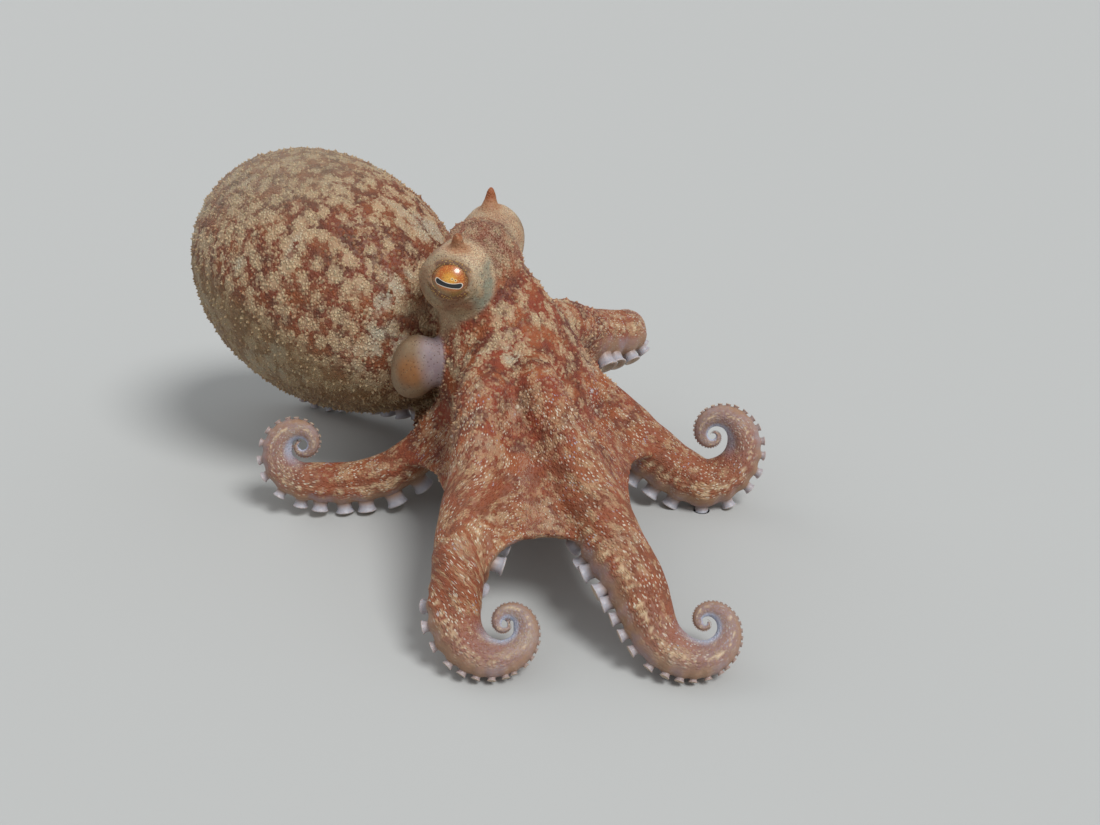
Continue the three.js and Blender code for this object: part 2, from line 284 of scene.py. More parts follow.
def eggShape(egg, rows=72, columns=96):
    # a sphere stretched along an axis, fuller towards the axis' far end
    axis = unit(egg["axis"])
    side = unit(np.cross(axis, (0.31, 0.2, 0.93)))
    above = np.cross(side, axis)
    lat = np.linspace(0, np.pi, rows)[:, None, None]
    lon = roundAngles(columns)[None, :, None]
    wide = egg["width"] / 2 * (1 + egg["egg"] * np.cos(lat))
    p = np.cos(lat) * egg["length"] / 2 * axis
    p = p + np.sin(lat) * wide * (np.cos(lon) * side + np.sin(lon) * above) + egg["centre"]
    return p.reshape(-1, 3), gridFaces(rows, columns)


def ballShape(centre, diameter):
    ball = {"centre": centre, "axis": (0, 0, 1), "length": diameter, "width": diameter, "egg": 0}
    return eggShape(ball, 40, 56)


def pegShape(foot, tip, footRadius, tipRadius, rows=24, columns=20):
    # a soft cone: its radius falls from foot to tip, and its end is rounded
    foot, tip = np.asarray(foot, float), np.asarray(tip, float)
    along = unit(tip - foot)
    side = unit(np.cross(along, (0.2, 1, 0.1)))
    t = np.linspace(0, 1, rows)[:, None, None]
    a = roundAngles(columns)[None, :, None]
    radius = tipRadius * (1.15 - 0.3 * t) + (footRadius - tipRadius * 1.15) * (1 - t) ** 2
    radius = radius * np.sqrt(np.clip(1 - ((t - 0.85) / 0.15).clip(0, 1) ** 2, 0, 1))
    ring = np.cos(a) * side + np.sin(a) * np.cross(along, side)
    return closedTube(foot + (tip - foot) * t + radius * ring)


def armShape(line, start=0.0, end=1.0, columns=40):
    # an oval ring at each station; on the sucker side it swells a little at each sucker, and an arm
    # that starts part of the way along rises from inside the one it continues
    share = line["s"] / line["total"]
    keep = (share >= start) & (share <= end)
    a = roundAngles(columns)[None, :, None]
    sunk = 0.12 * (1 - ease(share, start, start + 0.12)) * (start > 0)
    half = (line["half"] * (1 - sunk))[keep][:, None, None]
    swell = 1 + 0.05 * ease(-np.sin(a), 0.1, 0.8) * np.cos(2 * np.pi * line["phase"][keep])[:, None, None]
    ring = np.cos(a) * line["side"][keep][:, None] * taper["flat"] + np.sin(a) * line["above"][keep][:, None]
    return closedTube(line["centre"][keep][:, None] + half * ring * swell)


def crownShape(rows=60, columns=72):
    # level rings whose middle follows the path and whose radius follows the list of radii
    middleLine = splineThrough(crown["path"])
    t = np.linspace(0, 1, rows)
    knots = np.linspace(0, 1, len(middleLine))
    centre = np.stack([np.interp(t, knots, middleLine[:, k]) for k in range(3)], 1)
    radius = np.interp(t, np.linspace(0, 1, len(crown["radii"])), crown["radii"])[:, None, None]
    a = roundAngles(columns)[None, :, None]
    ring = np.cos(a) * np.array([1, 0, 0]) + np.sin(a) * np.array([0, 1, 0])
    return closedTube(centre[:, None] + radius * ring)


def webShape(lineA, lineB, columns=34, rows=40):
    # a sheet slung between two arms; its edge is arched, and it sags and thins towards that edge
    across = np.linspace(0, 1, columns)[None, :, None]
    down = np.linspace(0, 1, rows)[:, None, None]
    bow = 1 - np.abs(2 * across - 1) ** 2.6
    reach = down * (1 - web["arch"] * bow)
    ends = []
    for line in (lineA, lineB):
        s = (reach * line["webEnd"] * line["total"])[..., 0]
        lift = web["attach"] * atRun(line, "half", s)
        ends.append(atRun(line, "centre", s) + atRun(line, "top", s) * lift[..., None])
    sheet = ends[0] * (1 - across) + ends[1] * across
    outward = unit(sheet - crown["path"][-1])
    sheet = sheet - outward * web["sag"] * bow * reach
    normal = unit(np.cross(np.gradient(sheet, axis=0), np.gradient(sheet, axis=1)))
    normal = normal * np.sign(np.sum(normal * outward))
    thick = web["thickness"] + (web["edge"] - web["thickness"]) * ease(down, 0.6, 1)
    top, under = sheet + normal * thick / 2, sheet - normal * thick / 2
    # the ring of each row runs over the top and back underneath, and each end closes on the sheet's middle
    rings = np.concatenate([top, under[:, ::-1]], 1)
    ends = np.concatenate([sheet, sheet[:, ::-1]], 1)
    rings = np.concatenate([ends[:1], rings, ends[-1:]])
    return rings.reshape(-1, 3), gridFaces(len(rings), 2 * columns)


# joining, smoothing and thinning
def meshFrom(name, verts, faces):
    mesh = bpy.data.meshes.new(name)
    mesh.vertices.add(len(verts))
    mesh.vertices.foreach_set("co", np.asarray(verts, np.float32).ravel())
    sides = faces.shape[1]
    mesh.loops.add(faces.size)
    mesh.loops.foreach_set("vertex_index", faces.ravel().astype(np.int32))
    mesh.polygons.add(len(faces))
    mesh.polygons.foreach_set("loop_start", np.arange(0, faces.size, sides, dtype=np.int32))
    mesh.update(calc_edges=True)
    mesh.validate()
    return mesh


def joined(parts):
    verts, faces, offset = [], [], 0
    for v, f in parts:
        verts.append(v)
        faces.append(f + offset)
        offset += len(v)
    return np.vstack(verts), np.vstack(faces)


def afterModifier(verts, faces, kind, **settings):
    # the mesh that one modifier makes of another, as arrays, in millimetres
    source = addObject("working", meshFrom("working", verts, faces))
    modifier = source.modifiers.new(kind, kind)
    for key, value in settings.items():
        setattr(modifier, key, value)
    result = source.evaluated_get(bpy.context.evaluated_depsgraph_get()).to_mesh()
    newVerts = np.empty(len(result.vertices) * 3, np.float32)
    result.vertices.foreach_get("co", newVerts)
    sides = len(result.polygons[0].vertices)
    newFaces = np.empty(len(result.loops), np.int32)
    result.loops.foreach_get("vertex_index", newFaces)
    workingMesh = source.data
    bpy.data.objects.remove(source)
    bpy.data.meshes.remove(workingMesh)
    return newVerts.reshape(-1, 3).astype(float), newFaces.reshape(-1, sides)


def trianglesOf(quads):
    return np.vstack([quads[:, [0, 1, 2]], quads[:, [0, 2, 3]]])


def remeshed(parts, voxel):
    verts, faces = joined(parts)
    return afterModifier(verts, faces, "REMESH", mode="VOXEL", voxel_size=voxel)


def edgesOf(faces):
    sides = faces.shape[1]
    pairs = np.vstack([np.stack([faces[:, i], faces[:, (i + 1) % sides]], 1) for i in range(sides)])
    return np.unique(np.sort(pairs, 1), axis=0)


def smoothed(verts, edges, rounds, pull=0.5, swell=0.0, weight=1.0):
    # each point moves part of the way to the mean of its neighbours; swell moves it back a little after
    verts = verts.copy()
    count = np.bincount(edges.ravel(), minlength=len(verts))[:, None]
    weight = np.broadcast_to(np.asarray(weight, float).reshape(-1, 1), (len(verts), 1))
    for step in range(rounds):
        for amount in (pull, -swell) if swell else (pull,):
            total = np.stack([
                np.bincount(edges[:, 0], verts[edges[:, 1], k], len(verts))
                + np.bincount(edges[:, 1], verts[edges[:, 0], k], len(verts)) for k in range(3)
            ], 1)
            verts += amount * weight * (total / count - verts)
    return verts


def bulbGap(points):
    # how far each point is from the surface of the nearer eye bulb
    return np.min([
        np.linalg.norm(points - eye["centre"], axis=1) - eye["bulb"] / 2 for eye in eyeBulbs.values()
    ], 0)


print("arms", {name: round(float(line["total"])) for name, line in lines.items()})
skinSurface = {"coreVoxel": 1.5, "voxel": 0.62, "triangles": 190000}
neighbours = [(armNames[i], armNames[(i + 1) % len(armNames)]) for i in range(len(armNames))]
webs = [webShape(lines[b], lines[a]) for a, b in neighbours]
core = [eggShape(mantle), eggShape(head), crownShape(), *webs]
core += [armShape(line, end=0.5) for line in lines.values()]
core += [ballShape(eye["centre"], eye["bulb"]) for eye in eyeBulbs.values()]
core += [eggShape(funnel)]
coreVerts, coreFaces = remeshed(core, skinSurface["coreVoxel"])
coreEdges = edgesOf(coreFaces)
coreVerts = smoothed(coreVerts, coreEdges, 10)
# the skin runs smoothly from the bulbs to the head and the crown, but keeps the bulbs' fronts round
soft = ease(bulbGap(coreVerts), 12, 3)
for eye in eyeBulbs.values():
    soft *= ease(unit(coreVerts - eye["centre"]) @ unit(eye["gaze"]), 0.72, 0.25)
coreVerts = smoothed(coreVerts, coreEdges, 36, weight=soft)
print("core", len(coreFaces))

whole = [(coreVerts, coreFaces), eggShape(mantle), *webs]
whole += [armShape(line, start=0.32) for line in lines.values()]
whole += [pegShape(p["foot"], p["tip"], p["width"] / 2, p["point"] / 2) for p in papillae.values()]
skinVerts, skinFaces = remeshed(whole, skinSurface["voxel"])
print("whole", len(skinFaces))
skinVerts = smoothed(skinVerts, edgesOf(skinFaces), 5, 0.5, 0.45)
skinFaces = trianglesOf(skinFaces)
kept = skinSurface["triangles"] / len(skinFaces)
skinVerts, skinFaces = afterModifier(skinVerts, skinFaces, "DECIMATE", ratio=kept)
print("skin thinned to", len(skinFaces), "triangles")


# eyes and lids
eyeball = {"diameter": 17, "forward": 5.4, "rows": 72, "columns": 96}
lid = {"wide": 6.3, "high": 4.7, "spread": 0.86, "lift": 0.55, "rows": 22, "columns": 96}


def eyeAxes(eye):
    # the gaze, and the level and upright directions of the eye's own plane, rolled about the gaze
    gaze = unit(eye["gaze"])
    level = unit(np.cross((0, 0, 1), gaze))
    upright = np.cross(gaze, level)
    roll = math.radians(eye["roll"])
    turned = level * math.cos(roll) + upright * math.sin(roll)
    return gaze, turned, np.cross(gaze, turned)


def lidShape(eye):
    # an oval ring round the eye: it starts inside the eyeball, rolls over a soft rim and dips under the skin
    gaze, level, upright = eyeAxes(eye)
    t = np.linspace(0, 1, lid["rows"])[:, None]
    a = roundAngles(lid["columns"])[None, :]
    oval = lid["wide"] * lid["high"] / np.hypot(lid["high"] * np.cos(a), lid["wide"] * np.sin(a))
    radius = oval * (0.93 + lid["spread"] * t)
    ball = np.sqrt((eye["bulb"] / 2) ** 2 - radius ** 2)
    upper = 0.75 + 0.5 * np.sin(a)  # the upper lid stands prouder than the lower one
    rim = lid["lift"] * upper * np.sin(np.pi * np.clip(t / 0.62, 0, 1)) ** 1.2
    height = ball + rim - 0.9 * ease(t, 0.55, 1) - 0.55 * (1 - ease(t, 0, 0.16))
    ring = np.cos(a)[..., None] * level + np.sin(a)[..., None] * upright
    p = radius[..., None] * ring + height[..., None] * gaze + eye["centre"]
    return p.reshape(-1, 3), trianglesOf(gridFaces(lid["rows"], lid["columns"])[:, ::-1])


skinVerts, skinFaces = joined([(skinVerts, skinFaces)] + [lidShape(eye) for eye in eyeBulbs.values()])


# where each point of the skin lies on the animal
def nearestOn(line, points):
    # the station whose surface is nearest, and the point's place in that station's own directions
    index = np.empty(len(points), int)
    gap = np.empty(len(points))
    for part in np.array_split(np.arange(len(points)), len(points) // 20000 + 1):
        p, c = points[part], line["centre"]
        square = (p ** 2).sum(1)[:, None] + (c ** 2).sum(1)[None] - 2 * p @ c.T
        clear = np.sqrt(np.maximum(square, 0)) - line["half"]
        index[part] = clear.argmin(1)
        gap[part] = clear.min(1)
    q = points - line["centre"][index]
    place = np.stack([np.sum(q * line[key][index], 1) for key in ("along", "side", "above")], 1)
    place[:, 0] += line["s"][index]
    return gap, index, place


def eggDepth(points, egg):
    # 0 at the egg's middle, 1 on its surface
    axis = unit(egg["axis"])
    q = points - egg["centre"]
    along = q @ axis
    wide = np.sqrt(np.maximum((q ** 2).sum(1) - along ** 2, 0))
    return np.hypot(along / (egg["length"] / 2), wide / (egg["width"] / 2))


def latticeValues(cells, seed):
    # a random number for each whole-numbered cell
    table = np.random.default_rng(seed).random(8192)
    mixed = (cells[..., 0] * 73856093) ^ (cells[..., 1] * 19349663) ^ (cells[..., 2] * 83492791)
    return table[mixed & 8191]


def softNoise(points, size, seed):
    # values at the lattice's corners, blended smoothly between them, from -1 to 1
    q = points / size
    cell = np.floor(q).astype(np.int64)
    f = ease(q - cell, 0, 1)
    total = np.zeros(len(points))
    for corner in np.ndindex(2, 2, 2):
        corner = np.array(corner)
        total += np.prod(np.where(corner, f, 1 - f), 1) * latticeValues(cell + corner, seed)
    return total * 2 - 1


def pebbles(points, size, seed):
    # 1 at the nearest of many scattered points, falling to 0 at about half the spacing
    q = points / size
    cell = np.floor(q).astype(np.int64)
    nearest = np.full(len(points), 9.0)
    for step in np.ndindex(3, 3, 3):
        c = cell + np.array(step) - 1
        spot = c + np.stack([latticeValues(c, seed + k) for k in range(3)], 1)
        nearest = np.minimum(nearest, np.linalg.norm(q - spot, axis=1))
    return 1 - ease(nearest, 0.05, 0.62)


# marks round the eyes: rings round the gaze by radius and width, and zones by middle and half sizes
eyeMarks = {
    "sideFold": (9.6, 0.7), "lowerFold": (8.0, 0.5), "fringe": (5.6, 1.0), "brow": (5.7, 1.15),
    "cheek": ((-42, -5, 75), (11, 12, 9)), "head": ((-24, 11, 92), (15, 20, 17)),
}
# where along an arm each part of its finish comes in; the tip and its pale line are measured from the end
zones = {
    "arm": (14, 34), "limb": (34, 66), "oral": (26, 46), "dots": (20, 40),
    "tip": (18, 62), "rimLine": (26, 54),
}


def bell(x, peak, width):
    return np.exp(-((x - peak) / width) ** 2)


def eyeFields(points):
    # shares of the folds and colours on the eye bulbs, and how far in front of a bulb's back a point is
    names = ("fold", "ahead", "bulbPink", "bulbTeal", "bulbFringe", "bulbBrow")
    marks = {name: np.zeros(len(points)) for name in names}

    def mark(name, share):
        marks[name] = np.maximum(marks[name], share)

    for eye in eyeBulbs.values():
        # right and up are seen looking at the eye; the rings lie round the gaze
        gaze, level, upright = eyeAxes(eye)
        q = points - eye["centre"]
        right, up, front = q @ level, q @ upright, q @ gaze
        out, ring, oval = np.linalg.norm(q, axis=1), np.hypot(right, up), np.hypot(right * 0.78, up)
        onEye = out < eye["bulb"] / 2 + 4
        near = onEye * ease(front, -3, 2)
        mark("fold", near * ease(right - up, 0, 6) * bell(ring, *eyeMarks["sideFold"]))
        mark("fold", near * ease(-up, 1, 5) * bell(ring, *eyeMarks["lowerFold"]) * 0.6)
        mark("ahead", (out < eye["bulb"]) * ease(front, -7, 1))
        mark("bulbPink", near * ease(up + 0.55 * right, 1.5, 8.5) * ease(ring, 5.5, 9))
        mark("bulbPink", onEye * (1 - ease(front, -4, 3)) * 0.9)
        mark("bulbTeal", near * ease(right - 0.3 * abs(up), 5, 9))
        mark("bulbFringe", near * ease(-up, 1, 4) * bell(oval, *eyeMarks["fringe"]))
        mark("bulbBrow", near * ease(up, 2.5, 5) * bell(oval, *eyeMarks["brow"]))
    return marks


def skinFields(points, normals):
    # every value that the skin's finish and relief need, at each point
    found = {name: nearestOn(line, points) for name, line in lines.items()}
    gaps = np.stack([found[n][0] for n in armNames])
    fields = {}
    for label, members in (("even", armNames[0::2]), ("odd", armNames[1::2])):
        own = np.stack([found[n][0] for n in members])
        best = own.argmin(0)
        lie = np.stack([found[n][2] for n in members])[best, np.arange(len(points))]
        lie[:, 2] += best * 83.0  # each arm reads its own stretch of the pattern
        fields[label + "Lie"] = lie
        fields[label + "Gap"] = own.min(0)
    fields["oddShare"] = ease(fields["evenGap"] - fields["oddGap"], -5, 5)
    pick = (gaps.argmin(0), np.arange(len(points)))

    def ofNearest(key):
        return np.stack([lines[n][key][found[n][1]] for n in armNames])[pick]

    above, left, half, s, phase = (ofNearest(k) for k in ("above", "left", "half", "s", "phase"))
    lie = np.stack([found[n][2] for n in armNames])[pick]
    facing = -np.sum(normals * above, 1)  # 1 where the skin faces as the suckers do
    onMantle = 1 - ease(eggDepth(points, mantle), 1.02, 1.12)
    onBulb = (1 - ease(bulbGap(points), 0.7, 2.6)) * (1 - onMantle * 0.6)
    onFunnel = 1 - ease(eggDepth(points, funnel), 1.04, 1.2)
    onArm = ease(s, *zones["arm"]) * (1 - onMantle) * (1 - onFunnel) * (1 - onBulb)
    marks = eyeFields(points)
    onBulb = onBulb * (0.5 + 0.5 * marks.pop("ahead"))
    horn = np.zeros(len(points))
    for p in papillae.values():
        foot, tip = np.array(p["foot"], float), np.array(p["tip"], float)
        t = np.clip((points - foot) @ (tip - foot) / np.sum((tip - foot) ** 2), 0.3, 1)
        out = np.linalg.norm(points - foot - t[:, None] * (tip - foot), axis=1)
        horn = np.maximum(horn, 1 - ease(out, 2.6, 6))
    cheekGap, headGap = (
        np.linalg.norm((points - np.array(centre, float)) / halfSizes, axis=1)
        for centre, halfSizes in (eyeMarks["cheek"], eyeMarks["head"])
    )
    onBulb = np.maximum(onBulb, (1 - ease(cheekGap, 0.6, 1.2)) * (1 - onFunnel))
    marks["bulbPink"] = np.maximum(marks["bulbPink"], (1 - ease(cheekGap, 0.5, 1.3)) * 0.8)
    dots = ease(np.cos(2 * np.pi * phase * 2), 0.1, 0.8) * bell(facing, 0.2, 0.1)
    fields.update(marks)
    fields.update({
        "mantleShare": onMantle, "bulbShare": onBulb, "funnelShare": onFunnel, "armShare": onArm,
        "limb": ease(s, *zones["limb"]) * onArm,
        "oral": ease(facing, 0.36, 0.72) * ease(s, *zones["oral"]) * onArm,
        "tip": (1 - ease(left, *zones["tip"])) * onArm,
        "rimLine": ease(-facing, 0.45, 0.85) * (1 - ease(left, *zones["rimLine"])) * onArm,
        "dots": dots * onArm * ease(s, *zones["dots"]),
        "webShare": ease(gaps.min(0), 0.6, 3.5) * onArm,
        "headShare": (1 - ease(headGap, 0.8, 1.15)) * (1 - onMantle),
        "half": half, "lie": lie, "s": s, "horn": horn,
    })
    return fields


def pointNormals(verts, faces):
    # each face's normal, weighted by its area, summed at its corners
    face = np.cross(verts[faces[:, 1]] - verts[faces[:, 0]], verts[faces[:, 2]] - verts[faces[:, 0]])
    total = np.stack([np.bincount(faces.ravel(), np.repeat(face[:, k], 3), len(verts)) for k in range(3)], 1)
    return unit(total)


skinNormals = pointNormals(skinVerts, skinFaces)
fields = skinFields(skinVerts, skinNormals)
print("skin fields worked out")

# relief: wide unevenness everywhere, warts on the sac and head, folds that run down the arms from the crown
relief = {
    "uneven": 0.35, "wart": 0.5, "wartSize": 4.6,
    "fold": 0.34, "foldLength": 17, "foldWidth": 2.3, "eyeFold": 0.55,
}
firm = ease(fields["half"], 1.5, 7) * (1 - fields["oral"])
smoothPart = 1 - np.maximum(fields["bulbShare"], fields["funnelShare"])
foldPlace = fields["lie"] / np.array([relief["foldLength"], relief["foldWidth"], relief["foldWidth"]])
height = relief["uneven"] * softNoise(skinVerts, 6.0, 3) * firm
height += relief["wart"] * (1 - fields["armShare"]) * smoothPart * pebbles(skinVerts, relief["wartSize"], 21)
height += relief["fold"] * fields["armShare"] * softNoise(foldPlace, 1.0, 5) * firm * (1 - fields["tip"])
height -= relief["eyeFold"] * fields["fold"]
skinVerts = skinVerts + skinNormals * height[:, None]
skinVerts[:, 2] = np.maximum(skinVerts[:, 2], 0)


# materials
def tint(red, green, blue):
    # a colour given as 0 to 255 on a screen, as the linear values that a shader takes
    c = np.array([red, green, blue]) / 255
    return (*np.where(c <= 0.04045, c / 12.92, ((c + 0.055) / 1.055) ** 2.4), 1.0)


class Finish:
    # a material whose nodes are added by short calls; each call gives back the node's output
    def __init__(self, name, **constants):
        self.material = bpy.data.materials.new(name)
        self.material.use_nodes = True
        self.tree = self.material.node_tree
        self.shader = self.tree.nodes["Principled BSDF"]
        for socket, value in constants.items():
            self.shader.inputs[socket.replace("_", " ")].default_value = value

    def node(self, kind, inputs, out=0, **settings):
        made = self.tree.nodes.new(kind)
        for key, value in settings.items():
            setattr(made, key, value)
        for socket, value in inputs.items():
            if isinstance(value, bpy.types.NodeSocket):
                self.tree.links.new(value, made.inputs[socket])
            else:
                made.inputs[socket].default_value = value
        return made.outputs[out]

    def math(self, operation, a, b=0.0):
        return self.node("ShaderNodeMath", {0: a, 1: b}, operation=operation)

    def plus(self, a, b):
        return self.math("ADD", a, b)

    def minus(self, a, b):
        return self.math("SUBTRACT", a, b)

    def times(self, a, b):
        return self.math("MULTIPLY", a, b)

    def vector(self, operation, a, b):
        return self.node("ShaderNodeVectorMath", {0: a, 1: b}, operation=operation)

    def shifted(self, place, by):
        return self.vector("ADD", place, by)

    def scaled(self, place, by):
        return self.vector("MULTIPLY", place, by)

    def pushed(self, place, size, far):
        # places moved by a noise of the given size, up to half of far in each direction
        middle = self.vector("SUBTRACT", self.noise(place, size, 2.0, out=1), (0.5, 0.5, 0.5))
        return self.shifted(place, self.scaled(middle, (far, far, far)))

    def rise(self, value, low, high):
        limits = {"Value": value, "From Min": low, "From Max": high}
        return self.node("ShaderNodeMapRange", limits, interpolation_type="SMOOTHSTEP")

    def blend(self, share, a, b):
        return self.node("ShaderNodeMix", {"Factor": share, 6: a, 7: b}, out=2, data_type="RGBA")

    def over(self, tone, share, amount, top):
        # a tone with another laid over it by an amount of the share
        return self.blend(self.times(share, amount), tone, top)

    def mixed(self, share, a, b):
        return self.node("ShaderNodeMix", {"Factor": share, 2: a, 3: b}, data_type="FLOAT")

    def noise(self, place, size, detail=2.0, out=0):
        inputs = {"Vector": place, "Scale": 1 / size, "Detail": detail}
        return self.node("ShaderNodeTexNoise", inputs, out=out)

    def cells(self, place, size, out=0):
        return self.node("ShaderNodeTexVoronoi", {"Vector": place, "Scale": 1 / size}, out=out)

    def luck(self, place, size):
        # a random number for each cell
        return self.node("ShaderNodeSeparateColor", {0: self.cells(place, size, out=1)})

    def value(self, name):
        return self.node("ShaderNodeAttribute", {}, out=2, attribute_name=name)

    def place(self, name):
        return self.node("ShaderNodeAttribute", {}, out=1, attribute_name=name)

    def objectPlace(self):
        coordinates = self.node("ShaderNodeTexCoord", {}, out=3)
        return self.scaled(coordinates, (1000, 1000, 1000))

    def relief(self, height, depth):
        bump = self.node("ShaderNodeBump", {"Height": height, "Distance": depth * mm, "Strength": 1.0})
        self.tree.links.new(bump, self.shader.inputs["Normal"])

    def colour(self, socket):
        self.tree.links.new(socket, self.shader.inputs["Base Color"])


skinColours = {
    "deepRed": tint(104, 50, 34), "brick": tint(146, 64, 38), "orange": tint(166, 92, 50),
    "brown": tint(98, 64, 42), "cream": tint(222, 198, 160), "white": tint(218, 214, 190),
    "grey": tint(146, 136, 114), "ochre": tint(160, 130, 86), "teal": tint(132, 138, 120),
    "darkDot": tint(64, 38, 26), "lilac": tint(150, 142, 158), "oral": tint(158, 124, 98),
    "tipPink": tint(148, 130, 116), "rim": tint(190, 200, 220), "funnelOchre": tint(142, 98, 56),
    "hornOrange": tint(160, 98, 58), "funnelLilac": tint(146, 136, 146), "pink": tint(178, 146, 120),
    "pinkCream": tint(190, 150, 112), "fleck": tint(224, 214, 194), "blueFleck": tint(176, 178, 192),
    "purple": tint(112, 62, 58), "limbRed": tint(150, 92, 62), "bulbOlive": tint(158, 138, 108),
    "bulbBrown": tint(138, 106, 80), "funnelEdge": tint(132, 110, 84), "sacOlive": tint(134, 108, 70),
}


def octopusSkin():
    f = Finish(
        "octopusSkin", Roughness=0.58, Subsurface_Weight=0.12, Subsurface_Scale=0.003,
        Subsurface_Radius=(1.0, 0.4, 0.25), Specular_IOR_Level=0.4,
    )
    c = skinColours
    place = f.objectPlace()

    def grains(where, stretch, size, gather, clump):
        # small grains, each all pale or all red: paler near a clump's middle, with a random share of its own
        own = f.pushed(f.scaled(where, stretch), 1.6, 0.8)
        spot = f.cells(own, size, out=2)
        luck, dome = f.luck(own, size), f.cells(own, size)
        gathered = f.pushed(f.scaled(spot, gather), clump * 0.8, clump * 0.55)
        level = f.minus(f.times(luck, 0.34), f.cells(gathered, clump))
        return f.plus(level, f.times(f.luck(gathered, clump), 0.3)), dome, luck

    bodyGrain = grains(place, (1, 1, 0.85), 0.95, (1, 1, 0.8), 4.4)
    evenGrain = grains(f.place("evenLie"), (0.7, 1, 1), 0.8, (0.75, 1, 1), 2.8)
    oddGrain = grains(f.place("oddLie"), (0.7, 1, 1), 0.8, (0.75, 1, 1), 2.8)
    level, dome, luck = (
        f.mixed(f.value("armShare"), body, f.mixed(f.value("oddShare"), even, odd))
        for body, even, odd in zip(bodyGrain, evenGrain, oddGrain)
    )
    wide = f.noise(place, 19.0, 2.0)
    middling = f.noise(f.shifted(place, (40, 7, 3)), 7.5, 2.0)
    speckle = f.noise(place, 0.5, 1.0)
    level = f.plus(level, f.times(f.minus(wide, 0.5), 0.8))
    level = f.plus(level, f.times(f.value("mantleShare"), 0.1))
    pale = f.rise(level, -0.3, 0.12)
    # painted highlight: a pale grain is palest on its top and half as pale at its edge
    grainTop = f.rise(dome, 0.62, 0.12)
    pale = f.times(pale, f.mixed(0.5, 1.0, grainTop))
    onCrown = f.minus(f.value("armShare"), f.times(f.value("limb"), 0.6))
    pale = f.times(pale, f.minus(1.0, f.times(onCrown, 0.26)))

    red = f.blend(f.rise(middling, 0.36, 0.62), c["deepRed"], c["brick"])
    red = f.over(red, f.rise(f.noise(place, 9.0, 1.0), 0.48, 0.66), 0.8, c["orange"])
    # below and at its end the sac's red turns further to brown: its own olive-brown colour with painted shade
    # laid in
    under = f.rise(f.value("mantleOliveShade"), 0.35, 0.85)
    red = f.blend(f.times(f.value("mantleShare"), f.mixed(under, 0.42, 0.85)), red, c["brown"])
    red = f.over(red, f.rise(luck, 0.55, 0.95), 0.45, c["orange"])
    # painted shade: red grains darken towards their edges, in the hollows between grains
    red = f.over(red, f.rise(dome, 0.3, 0.65), 0.24, c["darkDot"])
    red = f.over(red, f.value("limb"), 0.5, c["limbRed"])
    light = f.blend(f.rise(wide, 0.56, 0.7), c["cream"], c["white"])
    light = f.over(light, luck, 0.35, c["ochre"])
    light = f.over(light, f.value("armShare"), 0.6, c["pinkCream"])
    skinTone = f.blend(pale, red, light)
    skinTone = f.over(skinTone, f.rise(speckle, 0.36, 0.24), 0.35, c["deepRed"])

    # scattered flecks, drawn out along the arms: white, and pale blue towards the webs
    lies = {"Factor": f.value("oddShare"), 4: f.place("evenLie"), 5: f.place("oddLie")}
    fleckPlace = f.scaled(f.node("ShaderNodeMix", lies, out=1, data_type="VECTOR"), (0.5, 1, 1))
    flecks = f.times(f.rise(f.cells(fleckPlace, 0.85), 0.34, 0.2), f.value("armShare"))
    flecks = f.times(flecks, f.rise(f.noise(place, 9.0, 2.0), 0.36, 0.56))
    fleckTone = f.blend(f.rise(middling, 0.54, 0.66), c["fleck"], c["blueFleck"])
    skinTone = f.over(skinTone, flecks, 0.75, fleckTone)
    drawn = f.noise(f.scaled(fleckPlace, (0.12, 1, 1)), 1.5, 1.0)
    drawn = f.times(f.rise(drawn, 0.56, 0.7), f.value("webShare"))
    skinTone = f.over(skinTone, drawn, 0.6, c["purple"])
    headTone = f.blend(f.rise(speckle, 0.42, 0.6), c["brown"], c["pink"])
    skinTone = f.over(skinTone, f.value("headShare"), 0.5, headTone)

    # the sac is olive below and at its end, partly its own colour and partly painted shade, and greyer on top
    skinTone = f.over(skinTone, under, 0.6, c["sacOlive"])
    skinTone = f.over(skinTone, f.value("mantleTop"), 0.5, c["grey"])

    # smooth skin over the eyes, with small dark dots
    dotted = f.rise(f.cells(place, 1.15), 0.27, 0.15)
    bulbTone = f.blend(f.rise(middling, 0.4, 0.64), c["bulbOlive"], c["bulbBrown"])
    pinkTone = f.blend(f.rise(speckle, 0.4, 0.62), c["pink"], c["cream"])
    bulbTone = f.over(bulbTone, f.value("bulbPink"), 0.85, pinkTone)
    bulbTone = f.blend(f.times(f.value("bulbTeal"), f.rise(middling, 0.35, 0.6)), bulbTone, c["teal"])
    bulbTone = f.over(bulbTone, dotted, 0.8, c["darkDot"])
    fringe = f.math("MAXIMUM", f.value("bulbFringe"), f.value("bulbBrow"))
    bulbTone = f.over(bulbTone, f.rise(fringe, 0.25, 0.75), 0.75, tint(84, 54, 32))
    goldDots = f.rise(f.cells(f.shifted(place, (3, 5, 9)), 0.72), 0.4, 0.26)
    goldDots = f.times(goldDots, f.rise(fringe, 0.2, 0.6))
    bulbTone = f.over(bulbTone, goldDots, 0.85, tint(196, 158, 84))
    skinTone = f.over(skinTone, f.value("bulbShare"), 0.85, bulbTone)
    skinTone = f.over(skinTone, f.value("horn"), 0.7, c["hornOrange"])
    funnelTone = f.blend(f.value("funnelMiddle"), c["funnelEdge"], c["funnelOchre"])
    funnelTone = f.blend(f.value("funnelLilac"), funnelTone, c["funnelLilac"])
    funnelTone = f.over(funnelTone, dotted, 0.7, c["darkDot"])
    skinTone = f.over(skinTone, f.value("funnelShare"), 0.9, funnelTone)

